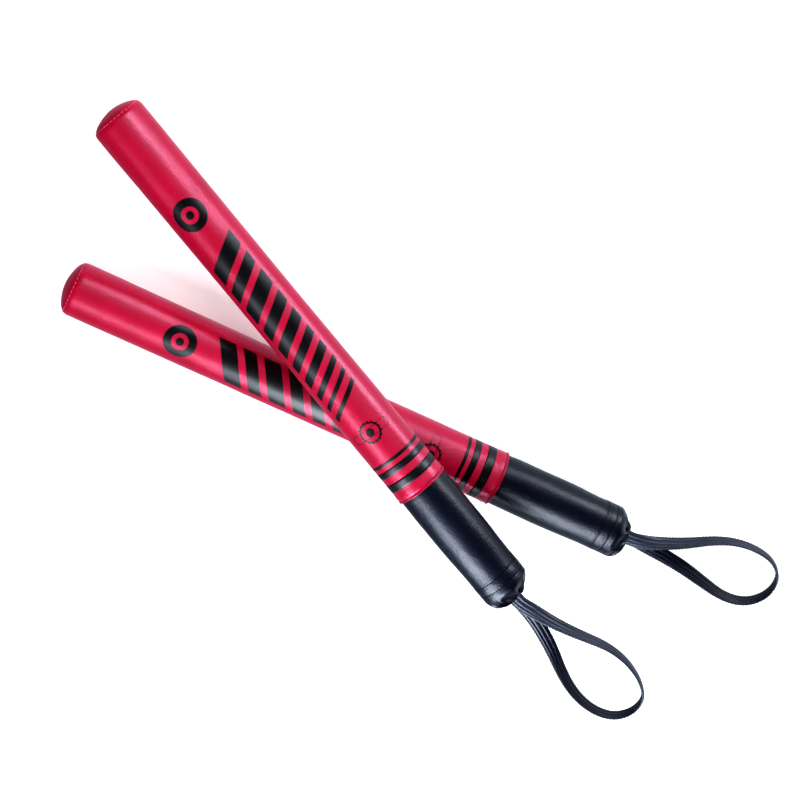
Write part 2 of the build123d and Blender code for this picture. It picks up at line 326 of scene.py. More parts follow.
class Blade:
    """The red cover's outer surface, which the prints and stitches lie on too."""

    def __init__(self, stick, seed):
        self.start, self.end, _ = stick.reach("blade_cover")
        _, _, self.out = stick.reach("blade_foam")
        self.out += BLADE_WALL_MM
        hem_first, hem_last, _ = stick.reach("hem_thread")
        self.hem_stitch = (hem_first + hem_last) / 2
        tip_first, tip_last, _ = stick.reach("tip_thread")
        self.tip_stitch = (tip_first + tip_last) / 2
        self.lumps = waves(seed, 9, (-0.10, 0.10), (1, 5))
        self.ripples = waves(seed + 1, 8, (-0.55, 0.55), (3, 9))
        self.puckers = waves(seed + 2, 7, (-0.05, 0.05), (26, 46))

    def shoulder_drop(self, s):
        arc = (SHOULDER_MM**2 + SHOULDER_DROP_MM**2) / (2 * SHOULDER_DROP_MM)
        before = np.clip(SHOULDER_MM - (s - self.start), 0, SHOULDER_MM)
        return arc - np.sqrt(arc**2 - before**2)

    def __call__(self, s, angle):
        """Distance out, in mm."""
        length = self.end - self.start
        out = self.out + 0.25 * bell(s, 26, 34) - 0.30 * bell(s, 0.52 * length, 0.24 * length)
        out = out - self.shoulder_drop(s)
        body = ease(s, 2, 30)
        out = out + body * (0.10 * wavy(self.lumps, s, angle) + 0.035 * wavy(self.ripples, s, angle))
        out = out + 0.30 * np.exp(-np.clip(s - self.start, 0, None) / 4.0) * wavy(self.puckers, s, angle)
        crease = 1.25 * np.exp(-((np.clip(s - self.start, 0, None) / 0.75) ** 2))
        return out - crease + self.hem(s, angle) + self.back_seam(s, angle)

    def hem(self, s, angle):
        """The folded hem stands a little proud, with its stitches pulled in."""
        fold = 0.45 * ease(s, self.end - HEM_FOLD_MM, self.end - HEM_FOLD_MM + 6)
        flare = 0.45 * ease(s, self.hem_stitch + 0.1, self.end - 0.5)
        pull = 0.55 + 0.16 * np.cos(HEM_STITCHES * angle)
        return fold + flare - pull * bell(s, self.hem_stitch, 0.75)

    def back_seam(self, s, angle):
        """The lengthwise seam, underneath."""
        across = self.out * angle_gap(angle, BACK_SEAM_ANGLE)
        on = ease(s, 3, 12)
        return on * (0.28 * bell(np.abs(across), 2.1, 1.0) - 0.75 * bell(across, 0, 0.75))


def turned_shell(stick, name, material, outer, inner):
    """A closed cover: rings of (s, out) over the outside and back along the inside."""
    rings = outer + inner
    vertices = np.concatenate([stick.points(s, out, around) for s, out in rings])
    faces = loft_faces(len(rings), AROUND, close_rows=True)
    return mesh_piece(stick.name(name), vertices, faces, material)


def blade_skin(stick, blade, material):
    inner_out = blade.out - 1.35
    steps = [0.25, 0.45, 0.65, 0.85, 1.05, 1.3, 1.7, 2.3, 3.0, 4.0, 5.0, 6.0, 7.5, 9.5, 12, 15, 18.5, 22]
    steps += list(np.linspace(27, blade.end - HEM_FOLD_MM - 3, 84))
    steps += list(np.linspace(blade.end - HEM_FOLD_MM, blade.hem_stitch - 1.8, 7))
    steps += [blade.hem_stitch + d for d in (-1.3, -0.9, -0.55, -0.25, 0, 0.25, 0.55, 0.9, 1.3, 1.6)]
    outer = [(blade.start + 0.30, blade(blade.start, around) - 0.6)]
    outer += [(blade.start + 0.05, blade(blade.start + 0.05, around) - 0.1)]
    outer += [(s, blade(np.full(AROUND, s), around)) for s in steps]
    lip = blade(np.full(AROUND, blade.end - 0.5), around)
    outer += [(blade.end - 0.28, lip - 0.10), (blade.end - 0.05, lip - 0.40), (blade.end, lip - 0.80)]
    inner = [(blade.end - 0.05, inner_out + 0.45), (blade.end - 0.5, inner_out + 0.15)]
    inner += [(s, inner_out) for s in (blade.end - 6, 300.0, 200.0, 100.0, 12.0)]
    inner += [(s, inner_out - 1.02 * blade.shoulder_drop(s)) for s in (5.0, 2.5, 0.8)]
    skin = turned_shell(stick, "blade_skin", material, outer, inner)
    stick.add(skin, "red_leather", "blade_cover")


def tip_skin(stick, blade, material):
    """The domed end, sewn in and a little gathered by its seam."""
    start, end, rim = stick.reach("tip_cap")
    rise = end - start
    dome = (rim**2 + rise**2) / (2 * rise)
    half = math.asin(rim / dome)

    def ring(share, depth):
        turn = half * share
        r = dome - depth
        pull = 0.22 * bell(share, 1.0, 0.10) * wavy(blade.puckers, 0.0, around)
        crown = 0.25 * bell(share, 0.80, 0.14) - 1.0 * bell(share, 1.0, 0.026)
        return (end + dome - rise - (r + crown) * math.cos(turn), r * math.sin(turn) + pull)

    shares = list(np.linspace(0.06, 0.9, 16)) + [0.925, 0.945, 0.96, 0.975, 0.987, 0.997]
    outer = [ring(share, 0) for share in shares]
    edge = outer[-1][1]
    outer += [(end + 0.02, edge - 0.25), (end + 0.05, edge - 0.7)]
    inner = [ring(share, 1.6 * CAP_WALL_MM) for share in (0.93, 0.8, 0.6, 0.4, 0.2, 0.06)]
    rings = outer + inner
    vertices = [stick.points(s, out, around) for s, out in rings]
    poles = [stick.points(start, 0.0, 0.0), stick.points(start + 1.6 * CAP_WALL_MM, 0.0, 0.0)]
    faces = loft_faces(len(rings), AROUND)
    faces += pole_faces(AROUND, 0, len(rings) * AROUND)
    faces += pole_faces(AROUND, (len(rings) - 1) * AROUND, len(rings) * AROUND + 1)
    skin = mesh_piece(stick.name("tip_skin"), np.concatenate(vertices + poles), faces, material)
    stick.add(skin, "red_leather", "tip_cap")


def stitch_ring_points(stick, s, out_at, count, length_share, thread, seed):
    """Stitches round a cover: each a short thread whose ends go down into the leather."""
    rng = random.Random(seed)
    shares = np.linspace(-0.5, 0.5, 9)
    sides = 8
    vertices, faces = [], []
    for k in range(count):
        middle = k * TURN / count
        slant = rng.uniform(-0.10, 0.16)
        length = length_share * rng.uniform(0.92, 1.05)
        angles = middle + shares * length * TURN / count
        sink = 1.5 * thread * (np.abs(shares) * 2) ** 4
        rise = out_at(s + slant * shares, angles) + 0.35 * thread - sink
        first = len(vertices) * sides
        for share, angle, height in zip(shares, angles, rise):
            turns = np.arange(sides) * TURN / sides
            width = thread * (1 - 0.35 * (abs(share) * 2) ** 6)
            vertices.append(
                stick.points(s + slant * share + width * np.cos(turns), height + width * np.sin(turns), angle)
            )
        faces += loft_faces(len(shares), sides, first)
        faces += [tuple(range(first, first + sides))]
        faces += [tuple(range(first + (len(shares) - 1) * sides, first + len(shares) * sides))]
    return vertices, faces


def stitch_rows(stick, name, node, slot, material, rows):
    """One piece of one or more rows of stitches: (s, surface, count, length share, thread, seed) each."""
    vertices, faces = [], []
    for row in rows:
        more, more_faces = stitch_ring_points(stick, *row)
        offset = sum(len(v) for v in vertices)
        vertices += more
        faces += [tuple(i + offset for i in face) for face in more_faces]
    piece = mesh_piece(stick.name(name), np.concatenate(vertices), faces, material)
    stick.add(piece, slot, node)


# ---------------------------------------------------------------- prints


def film_rings(stick, blade, places):
    """A ring of a film over places (s, angle) on the blade: over the top and back underneath."""
    s, angle = (np.array(values) for values in zip(*places))
    out = blade(s, angle)
    top = stick.points(s, out + FILM_PROUD_MM, angle)
    return np.concatenate([top, stick.points(s, out - FILM_DEPTH_MM, angle)[::-1]])


def film(stick, name, vertices, faces, material):
    """A print with crisp edges."""
    piece = mesh_piece(stick.name(name), vertices, faces, material)
    piece.data.set_sharp_from_angle(angle=math.radians(50))
    stick.add(piece, "print_film")


def band(stick, blade, name, start, end, material):
    steps = np.linspace(start, end, 6)
    outer = [(s, blade(np.full(AROUND, s), around) + FILM_PROUD_MM) for s in steps]
    inner = [(s, blade(np.full(AROUND, s), around) - FILM_DEPTH_MM) for s in steps[::-1]]
    stick.add(turned_shell(stick, name, material, outer, inner), "print_film")


def bar(stick, blade, name, start, width, low, high, material):
    """A slanted bar between two heights across the stick, measured round the blade."""
    line = PRINT_LINE[stick.prefix]
    rings = []
    for height in np.linspace(low, high, 36):
        lean = BARS_SLANT_MM * (height + BARS_HALF_HEIGHT_MM) / (2 * BARS_HALF_HEIGHT_MM)
        steps = np.linspace(start + lean, start + lean + width, max(4, round(width / 1.5)))
        rings.append(film_rings(stick, blade, [(s, line + height / blade.out) for s in steps]))
    film(stick, name, np.concatenate(rings), plate_faces(len(rings), len(rings[0])), material)


def round_print(stick, blade, name, at, inner_r, outer_r, material, straight=0.0, notches=0):
    """A ring, or a disc where inner_r is near nothing. Straight sides make it a capsule across the stick."""
    line = PRINT_LINE[stick.prefix]
    stations = []
    for k in range(145):
        turn = k * TURN / 144
        stations.append((math.cos(turn), math.sin(turn), math.copysign(straight, 72 - k)))
        if straight and k in (72, 144):
            ends = (straight, -straight) if k == 72 else (-straight, straight)
            stations += [(math.cos(turn), 0.0, offset) for offset in np.linspace(*ends, 26)[1:-1]]
    if not straight:
        stations.pop()
    rings = []
    for k, (x, h, offset) in enumerate(stations):
        rim = outer_r - 0.9 if notches and math.cos(notches * k * TURN / 144) < -0.45 else outer_r
        radii = np.linspace(inner_r, rim, max(3, round((outer_r - inner_r) / 1.2)))
        places = [(at + r * x, line + (r * h + offset) / blade.out) for r in radii]
        rings.append(film_rings(stick, blade, places))
    faces = loft_faces(len(rings), len(rings[0]), close_rows=True)
    film(stick, name, np.concatenate(rings), faces, material)


def prints(stick, blade, material):
    """Plain shapes of the same weight as a maker's print: rings, slanted bars and bands."""
    round_print(stick, blade, "emblem_ring", EMBLEM_AT_MM, 0.52 * EMBLEM_R_MM, EMBLEM_R_MM, material)
    round_print(stick, blade, "emblem_dot", EMBLEM_AT_MM, 0.02, 0.24 * EMBLEM_R_MM, material)
    start = BARS_START_MM
    for k, width in enumerate(BAR_WIDTHS_MM):
        bar(stick, blade, f"bar_{k + 1}", start, width, -BARS_HALF_HEIGHT_MM, BARS_HALF_HEIGHT_MM, material)
        start += width + BAR_GAP_MM
    round_print(stick, blade, "badge_ring", BADGE_AT_MM, 0.78 * BADGE_R_MM, BADGE_R_MM, material, notches=16)
    round_print(stick, blade, "badge_dot", BADGE_AT_MM, 0.02, 0.36 * BADGE_R_MM, material)
    tag = TAG_HALF_WIDTH_MM
    straight = TAG_HALF_LENGTH_MM - tag
    round_print(stick, blade, "badge_tag", BADGE_AT_MM, tag - 0.55, tag, material, straight=straight)
    for k, (start, end) in enumerate(BANDS_MM):
        band(stick, blade, f"band_{k + 1}", start, end, material)


# ---------------------------------------------------------------- handle and gathered end


class Handle:
    """The black cover between the hem and the collar: slightly barrelled, a little lumpy."""

    def __init__(self, stick, blade, seed):
        self.start, self.end, self.barrel = stick.reach("handle_cover")
        self.hem = blade.end
        self.collar, _, _ = stick.reach("end_collar")
        self.under_hem = blade.out - 1.5
        self.lumps = waves(seed, 10, (-0.16, 0.16), (1, 6))
        self.grain = waves(seed + 1, 10, (-0.7, 0.7), (6, 20))

    def __call__(self, s, angle):
        barrel = self.barrel - BARREL_DROP_MM * ((s - BARREL_AT_MM) / BARREL_REACH_MM) ** 2
        thinner = barrel - 0.25 * ease(s, 500, 537)
        out = np.where(s < BARREL_AT_MM, np.maximum(barrel, self.under_hem), thinner)
        free = ease(s, self.hem, self.hem + 8)
        under = 0.5 - 0.5 * np.cos(angle - math.radians(40))
        out = out + free * (0.10 + 0.16 * under) * wavy(self.lumps, s, angle)
        out = out + free * 0.035 * wavy(self.grain, s, angle)
        across = self.barrel * angle_gap(angle, BACK_SEAM_ANGLE)
        out = out + 0.22 * ease(s, 530, self.collar)
        return out + free * (0.25 * bell(np.abs(across), 2.0, 1.0) - 0.6 * bell(across, 0, 0.75))


def handle_skin(stick, handle, material):
    tucked = handle.collar - 0.04
    under_hem, under_barrel, under_collar, at_end = HANDLE_LINING_MM
    steps = np.concatenate([
        np.linspace(handle.start + 0.4, handle.hem, 5),
        np.linspace(handle.hem + 2, tucked - 0.8, 64),
        [tucked - 0.25, tucked],
    ])
    outer = [(s, handle(np.full(AROUND, s), around)) for s in steps]
    outer = [(s, np.minimum(out, handle.under_hem)) if s <= handle.hem else (s, out) for s, out in outer]
    outer += [(handle.collar, HANDLE_STEP_MM), (handle.end, HANDLE_STEP_MM)]
    inner = [(handle.end, at_end), (handle.collar, at_end), (tucked - 3, under_collar)]
    inner += [(BARREL_AT_MM, under_barrel), (handle.hem, under_hem), (handle.start, under_hem)]
    inner += [(handle.start, handle.under_hem - 0.3)]
    skin = turned_shell(stick, "handle_skin", material, outer, inner)
    stick.add(skin, "black_leather", "handle_cover")


class Collar:
    """The sewn-on collar and the folds that draw it in round the strap."""

    def __init__(self, stick, seed):
        rng = random.Random(seed)
        self.start, self.end, self.out = stick.reach("end_collar")
        first, last, _ = stick.reach("collar_threads")
        self.stitch_lines = (first + 0.35, last - 0.35)
        self.gather = GATHER_START_MM
        step = TURN / FOLDS
        self.creases = sorted((k + rng.uniform(-0.30, 0.30)) * step for k in range(FOLDS))
        self.depths = [rng.uniform(0.55, 1.25) for _ in range(FOLDS)]
        self.wrinkles = waves(seed + 1, 8, (-0.25, 0.25), (14, 30))
        self.lumps = waves(seed + 2, 8, (-0.25, 0.25), (2, 8))

    def ridge(self, angle):
        """0 in a crease and 1 on the crest of a fold, with how deep the creases beside it are."""
        angle = np.mod(angle - self.creases[0], TURN)
        starts = np.array(self.creases) - self.creases[0]
        ends = np.append(starts[1:], TURN)
        index = np.clip(np.searchsorted(starts, angle, side="right") - 1, 0, FOLDS - 1)
        share = (angle - starts[index]) / (ends[index] - starts[index])
        depths = np.array(self.depths)
        depth = depths[index] * (1 - share) + depths[(index + 1) % FOLDS] * share
        crest = 1 - np.abs(2 * share - 1)
        return 0.25 * np.sin(math.pi * share) + 0.75 * crest**2.6, depth

    def straight(self, s, angle):
        """Distance out along the sewn part."""
        out = np.full(np.broadcast(s, angle).shape, self.out)
        for line in self.stitch_lines:
            pull = 0.20 + 0.10 * np.cos(COLLAR_STITCHES * angle)
            out = out - pull * bell(s, line, 0.55)
        out = out + 0.22 * bell(s, sum(self.stitch_lines) / 2, 3.2)
        return out + ease(s, self.start + 3, self.start + 8) * 0.22 * wavy(self.lumps, s, angle)

    def gathered(self, share, angle):
        """(s, out) of the drawn-in end, from its start at 0 to the mouth at 1."""
        turn = share * math.pi / 2
        mouth_out = 1.15 + 1 / np.hypot(
            np.sin(angle) / MOUTH_HALF_WIDTH_MM, np.cos(angle) / MOUTH_HALF_HEIGHT_MM
        )
        reach = math.sin(turn) ** 0.95
        s = self.gather + (self.end - self.gather) * reach
        # one side bulges, the other is drawn straight in
        bulging = max(math.cos(turn), 0.0) ** 0.85
        straight = 1 - reach**1.25
        drawn = (0.5 - 0.5 * np.sin(angle + 0.15)) ** 1.3
        out = mouth_out + (self.out - mouth_out) * (bulging * (1 - drawn) + straight * drawn)
        twisted = angle + 0.85 * share**2
        ridge, depth = self.ridge(twisted)
        deep = 4.4 * ease(share, 0.10, 0.45) * (1 - 0.85 * ease(share, 0.55, 0.95))
        lift = 1.6 * math.sin(math.pi * min(1.0, share * 1.05)) * ridge
        out = out - deep * depth * (1 - ridge) + lift
        out = out + 0.30 * math.sin(math.pi * share) * wavy(self.wrinkles, share * 17, twisted)
        back = 4.6 * depth * (1 - ridge) * ease(share, 0.25, 0.62) * (1 - 0.75 * ease(share, 0.58, 0.88))
        out = np.maximum(out, mouth_out * (0.93 + 0.07 * share))
        # the folds stay clear of the gathering thread inside
        lowest = self.end - THREAD_COVER_MM - 1.2 * np.clip(out - THREAD_REACH_MM, 0, None)
        return np.maximum(s - back, np.minimum(s, lowest)), out


def end_collar(stick, collar, material):
    lines = collar.stitch_lines
    steps = [collar.start + d for d in (0.03, 0.25, 0.7)]
    steps += [lines[0] + d for d in (-0.6, -0.3, 0, 0.3, 0.7)]
    steps += [*np.linspace(lines[0] + 1.2, lines[1] - 1.2, 9)]
    steps += [lines[1] + d for d in (-0.7, -0.35, 0, 0.35, 0.7, 1.3, 2.2)]
    steps += list(np.linspace(lines[1] + 3.2, collar.gather, 3))
    shares = np.linspace(0.02, 1.0, 46)
    outer = [(collar.start, collar.out - 0.95), (collar.start + 0.01, collar.out - 0.3)]
    outer += [(s, collar.straight(s, around)) for s in steps]
    gathered = [collar.gathered(share, around) for share in shares]
    outer += gathered
    mouth_s, mouth_out = gathered[-1]
    outer += [(mouth_s - 0.1, mouth_out - 0.45), (mouth_s - 0.7, mouth_out - 0.95)]
    inner = [(mouth_s - 2.2, mouth_out - 1.05), (mouth_s - 4.0, mouth_out - 0.75)]
    inner += [(s - 1.3, np.maximum(out - 0.75, mouth_out - 0.6)) for s, out in gathered[-12:8:-3]]
    inner += [(collar.gather, collar.out - 1.25), (collar.start, collar.out - 1.2)]
    skin = turned_shell(stick, "end_collar_skin", material, outer, inner)
    stick.add(skin, "black_leather", "end_collar")


def butt_filling(stick, collar, material):
    """The soft filling under the gathered end: it follows the folds."""
    start, _, _ = stick.reach("butt_pad")
    bore = FILLING_BORE_MM
    throat = FILLING_THROAT_MM
    outer = [(start, bore), (start, collar.out - 1.4), (collar.gather, collar.out - 1.5)]
    rings = [collar.gathered(share, around) for share in np.linspace(0.08, 0.80, 14)]
    inset = FILLING_INSET_MM
    outer += [(s - inset, np.maximum(out - inset, throat + 0.3)) for s, out in rings]
    last_s, _ = outer[-1]
    inner = [(last_s - 1.0, throat), (start + 3.2, throat), (start + 3.2, bore)]
    pad = turned_shell(stick, "butt_filling", material, outer, inner)
    stick.add(pad, "foam", "butt_pad")


# ---------------------------------------------------------------- wrist strap


def spline_line(name, route):
    """The smooth line of a loop: points of a NURBS spline with the route as its control points."""
    curve = bpy.data.curves.new(name, "CURVE")
    curve.dimensions = "3D"
    spline = curve.splines.new("NURBS")
    spline.points.add(len(route) - 1)
    for point, place in zip(spline.points, route):
        point.co = (*place, 1)
    spline.order_u = 3
    spline.use_endpoint_u = True
    spline.resolution_u = 24
    guide = bpy.data.objects.new(name, curve)
    bpy.context.scene.collection.objects.link(guide)
    bpy.context.view_layer.update()
    mesh = bpy.data.meshes.new_from_object(guide)
    line = np.array([v.co for v in mesh.vertices])
    bpy.data.objects.remove(guide)
    bpy.data.curves.remove(curve)
    bpy.data.meshes.remove(mesh)
    return line


def evenly(line, pitch):
    """Places at even distances along a line, and their distances, in metres."""
    steps = np.linalg.norm(np.diff(line, axis=0), axis=1)
    line = line[np.append(True, steps > 1e-9)]
    run = np.append(0, np.cumsum(steps[steps > 1e-9]))
    at = np.linspace(0, run[-1], round(run[-1] / pitch) + 1)
    return np.stack([np.interp(at, run, line[:, k]) for k in range(3)], axis=1), at


def unit(rows):
    return rows / np.linalg.norm(rows, axis=1)[:, None]


class Ribbon:
    """The strap's centre line with its width and thickness directions."""

    def __init__(self, stick, route):
        self.places, self.at = evenly(spline_line(stick.name("strap_line"), route), RING_PITCH_MM * MM)
        tangent = unit(np.gradient(self.places, axis=0))
        share = self.at / self.at[-1]
        ends = np.clip(np.minimum(self.at, self.at[-1] - self.at) / 0.05, 0, 1)[:, None]
        up = np.array(stick.up) * (1 - ends) + np.array((0, 0, 1.0)) * ends
        up = unit(up - tangent * np.sum(up * tangent, axis=1)[:, None])
        out = np.cross(up, tangent)
        keys, turns = zip(*STRAP_TURN)
        turn = np.radians(np.interp(share, keys, turns))
        kernel = np.hanning(41)
        turn = np.convolve(np.pad(turn, 20, mode="edge"), kernel / kernel.sum(), mode="valid")
        self.face = up * np.cos(turn)[:, None] + out * np.sin(turn)[:, None]
        self.wide = np.cross(tangent, self.face)

    def height(self, across):
        """Half thickness at a distance across the strap, both in mm."""
        edge = np.clip(1 - np.abs(across / (STRAP_WIDTH_MM / 2)) ** 5, 0, 1) ** 0.5
        groove = sum(bell(across, row, 0.60) for row in STRAP_STITCH_ROWS_MM)
        return STRAP_THICKNESS_MM / 2 * edge - 0.42 * groove


def strap_mesh(stick, ribbon, painted_lit_leather, painted_shaded_leather):
    half = STRAP_WIDTH_MM / 2
    across = np.unique(np.concatenate([
        np.linspace(-6.2, 6.2, 9), np.array([-6.95, -6.8, -6.5, 6.5, 6.8, 6.95]),
        *(row + np.array([-1.1, -0.7, -0.35, 0, 0.35, 0.7]) for row in STRAP_STITCH_ROWS_MM),
    ])) * half / 7.0
    profile = [(x, ribbon.height(x)) for x in across] + [(half, 0.0)]
    profile += [(x, -ribbon.height(x)) for x in across[::-1]] + [(-half, 0.0)]
    x, y = (np.array(values) for values in zip(*profile))
    phase = ribbon.at / MM / STRAP_STITCH_PITCH_MM * TURN
    rings = []
    for place, wide, face, turn in zip(ribbon.places, ribbon.wide, ribbon.face, phase):
        scallop = 1 - 0.05 * (0.5 + 0.5 * math.cos(turn)) * (np.abs(x) / half) ** 3
        puff = 1 - 0.14 * math.cos(turn) * (np.abs(x) / half) ** 3
        rings.append(place + MM * ((x * scallop)[:, None] * wide + (y * puff)[:, None] * face))
    count, columns = len(rings), len(x)
    faces = loft_faces(count, columns)
    faces += [tuple(range(columns)), tuple(range((count - 1) * columns, count * columns))]
    strap = mesh_piece(stick.name("strap"), np.concatenate(rings), faces, painted_lit_leather)
    # One leather in two painted copies: the strap's outer face keeps the lighter copy, painted lighter as a
    # reflection of the floor; the other face takes the darker shaded copy.
    strap.data.materials.append(painted_shaded_leather)
    sides = np.arange(len(strap.data.polygons)) % columns > columns // 2
    strap.data.polygons.foreach_set("material_index", sides.astype(int))
    return strap


def strap_stitches(stick, ribbon, material):
    """Stitches in the strap's grooves, on both faces."""
    thread, sides = 0.30, 6
    shares = np.linspace(-0.5, 0.5, 7)
    length = 0.74 * STRAP_STITCH_PITCH_MM
    total = ribbon.at[-1] / MM
    count = int((total - 8) / STRAP_STITCH_PITCH_MM)
    turns = np.arange(sides) * TURN / sides
    vertices, faces = [], []
    for row in STRAP_STITCH_ROWS_MM:
        for front in (1, -1):
            height = front * (ribbon.height(row) + 0.10)
            for k in range(count):
                middle = 4 + (k + 0.5) * STRAP_STITCH_PITCH_MM
                first = len(vertices) * sides
                for share in shares:
                    i = (middle + share * length) / total * (len(ribbon.at) - 1)
                    low, part = int(i), i - int(i)
                    place, wide, face = (
                        rows[low] * (1 - part) + rows[low + 1] * part
                        for rows in (ribbon.places, ribbon.wide, ribbon.face)
                    )
                    sink = front * 1.6 * thread * (abs(share) * 2) ** 4
                    x = row + thread * np.cos(turns)
                    y = height - sink + thread * np.sin(turns)
                    vertices.append(place + MM * (x[:, None] * wide + y[:, None] * face))
                faces += loft_faces(len(shares), sides, first)
                faces += [tuple(range(first, first + sides))]
                last = first + (len(shares) - 1) * sides
                faces += [tuple(range(last, last + sides))]
    return mesh_piece(stick.name("strap_stitches"), np.concatenate(vertices), faces, material)


def wrist_strap(stick, route, painted_lit_leather, painted_shaded_leather, thread):
    ribbon = Ribbon(stick, route)
    strap = strap_mesh(stick, ribbon, painted_lit_leather, painted_shaded_leather)
    stitches = strap_stitches(stick, ribbon, thread)
    for piece, slot in ((strap, "strap_leather"), (stitches, "black_thread")):
        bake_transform(piece)
    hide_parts(stick.name("wrist_strap"), stick.name("strap_tails"))


# ---------------------------------------------------------------- materials


def new_material(name):
    material = bpy.data.materials.new(name)
    material.use_nodes = True
    nodes = material.node_tree.nodes
    return material, nodes, material.node_tree.links, nodes["Principled BSDF"]


def place_node(nodes):
    """Object coordinates, in metres."""
    return nodes.new("ShaderNodeTexCoord").outputs["Object"]


def noise_node(nodes, links, vector, scale, detail=3.0, roughness=0.5):
    node = nodes.new("ShaderNodeTexNoise")
    node.inputs["Scale"].default_value = scale
    node.inputs["Detail"].default_value = detail
    node.inputs["Roughness"].default_value = roughness
    links.new(vector, node.inputs["Vector"])
    return node.outputs["Fac"]


def ramp_node(nodes, links, value, low, high, colours=None):
    """Maps a value between two places to 0..1, or to two colours."""
    node = nodes.new("ShaderNodeValToRGB")
    node.color_ramp.elements[0].position = low
    node.color_ramp.elements[1].position = high
    if colours:
        for element, colour in zip(node.color_ramp.elements, colours):
            element.color = (*colour, 1)
    links.new(value, node.inputs["Fac"])
    return node.outputs["Color"]


def range_node(nodes, links, value, low, high):
    node = nodes.new("ShaderNodeMapRange")
    node.inputs["To Min"].default_value = low
    node.inputs["To Max"].default_value = high
    links.new(value, node.inputs["Value"])
    return node.outputs["Result"]


def bump_node(nodes, links, height, distance, strength, before=None):
    node = nodes.new("ShaderNodeBump")
    node.inputs["Distance"].default_value = distance
    node.inputs["Strength"].default_value = strength
    links.new(height, node.inputs["Height"])
    if before:
        links.new(before, node.inputs["Normal"])
    return node.outputs["Normal"]


def leather(name, dark, light, rough, grain_size, grain_depth, tint=(1, 1, 1), shine=0.5):
    """Coated leather: pebbled grain, soft unevenness, slow changes of colour and gloss."""
    material, nodes, links, shader = new_material(name)
    vector = place_node(nodes)
    slow = noise_node(nodes, links, vector, 22, 3)
    fast = noise_node(nodes, links, vector, 1 / grain_size * 0.35, 4, 0.62)
    cells = nodes.new("ShaderNodeTexVoronoi")
    cells.feature = "SMOOTH_F1"
    cells.inputs["Scale"].default_value = 1 / grain_size
    cells.inputs["Smoothness"].default_value = 0.45
    links.new(vector, cells.inputs["Vector"])
    links.new(ramp_node(nodes, links, slow, 0.30, 0.72, (dark, light)), shader.inputs["Base Color"])
    links.new(range_node(nodes, links, fast, rough - 0.07, rough + 0.08), shader.inputs["Roughness"])
    soft = bump_node(nodes, links, fast, 0.0005, 0.35)
    pebbled = bump_node(nodes, links, cells.outputs["Distance"], grain_depth, 0.5, soft)
    links.new(pebbled, shader.inputs["Normal"])
    shader.inputs["Specular IOR Level"].default_value = shine
    shader.inputs["Specular Tint"].default_value = (*tint, 1)
    return material


def ink(name, colour, rough):
    """Screen-printed film: thin, a little uneven and faintly grained by the leather under it."""
    material, nodes, links, shader = new_material(name)
    vector = place_node(nodes)
    mottled = noise_node(nodes, links, vector, 900, 4, 0.6)
    dark = tuple(0.6 * value for value in colour)
    light = tuple(1.5 * value for value in colour)
    links.new(ramp_node(nodes, links, mottled, 0.3, 0.7, (dark, light)), shader.inputs["Base Color"])
    links.new(range_node(nodes, links, mottled, rough - 0.05, rough + 0.07), shader.inputs["Roughness"])
    links.new(bump_node(nodes, links, mottled, 0.0002, 0.35), shader.inputs["Normal"])
    shader.inputs["Specular IOR Level"].default_value = 0.5
    return material


def spun_thread(name, dark, light, rough=0.55, specular=0.5):
    """Twisted sewing thread."""
    material, nodes, links, shader = new_material(name)
    vector = place_node(nodes)
    twist = nodes.new("ShaderNodeTexWave")
    twist.bands_direction = "DIAGONAL"
    twist.inputs["Scale"].default_value = 700
    twist.inputs["Distortion"].default_value = 1.5
    links.new(vector, twist.inputs["Vector"])
    ply = twist.outputs["Fac"]
    links.new(ramp_node(nodes, links, ply, 0.1, 0.9, (dark, light)), shader.inputs["Base Color"])
    links.new(bump_node(nodes, links, ply, 0.0001, 0.6), shader.inputs["Normal"])
    shader.inputs["Roughness"].default_value = rough
    shader.inputs["Specular IOR Level"].default_value = specular
    return material


def foam(name, dark, light):
    """Open-cell foam: pores of two sizes."""
    material, nodes, links, shader = new_material(name)
    vector = place_node(nodes)
    pores = nodes.new("ShaderNodeTexVoronoi")
    pores.inputs["Scale"].default_value = 650
    links.new(vector, pores.inputs["Vector"])
    fine = noise_node(nodes, links, vector, 1500, 4, 0.7)
    distance = pores.outputs["Distance"]
    links.new(ramp_node(nodes, links, distance, 0.05, 0.5, (dark, light)), shader.inputs["Base Color"])
    links.new(range_node(nodes, links, fine, 0.82, 0.98), shader.inputs["Roughness"])
    coarse = bump_node(nodes, links, distance, 0.0006, 0.8)
    links.new(bump_node(nodes, links, fine, 0.0003, 0.5, coarse), shader.inputs["Normal"])
    return material


def moulded(name, dark, light, rough, metallic=0.0, scale=260):
    """Moulded or drawn hard parts: faint flow marks and scuffs."""
    material, nodes, links, shader = new_material(name)
    vector = place_node(nodes)
    flow = noise_node(nodes, links, vector, scale, 5, 0.6)
    links.new(ramp_node(nodes, links, flow, 0.3, 0.7, (dark, light)), shader.inputs["Base Color"])
    links.new(range_node(nodes, links, flow, rough - 0.06, rough + 0.08), shader.inputs["Roughness"])
    links.new(bump_node(nodes, links, flow, 0.00008, 0.4), shader.inputs["Normal"])
    shader.inputs["Metallic"].default_value = metallic
    return material


def paint_cad_nodes(materials):
    """Every CAD node that still shows gets its own finish."""
    finish = {
        "tip_pad": "foam", "blade_foam": "foam", "handle_foam": "foam", "core_tube": "pvc",
        "tip_plug": "plug", "butt_plug": "plug", "strap_pin": "steel", "gather_thread": "black_thread",
    }
    for node, part in frame["nodes"].items():
        kind = finish.get(node.split("_", 1)[1])
        if kind:
            part.data.materials.clear()
            part.data.materials.append(materials[kind])


# ---------------------------------------------------------------- studio


def aimed(name, data, place, target):
    lamp = bpy.data.objects.new(name, data)
    bpy.context.scene.collection.objects.link(lamp)
    lamp.location = place
    lamp.rotation_euler = (Vector(target) - Vector(place)).to_track_quat("-Z", "Y").to_euler()
    return lamp


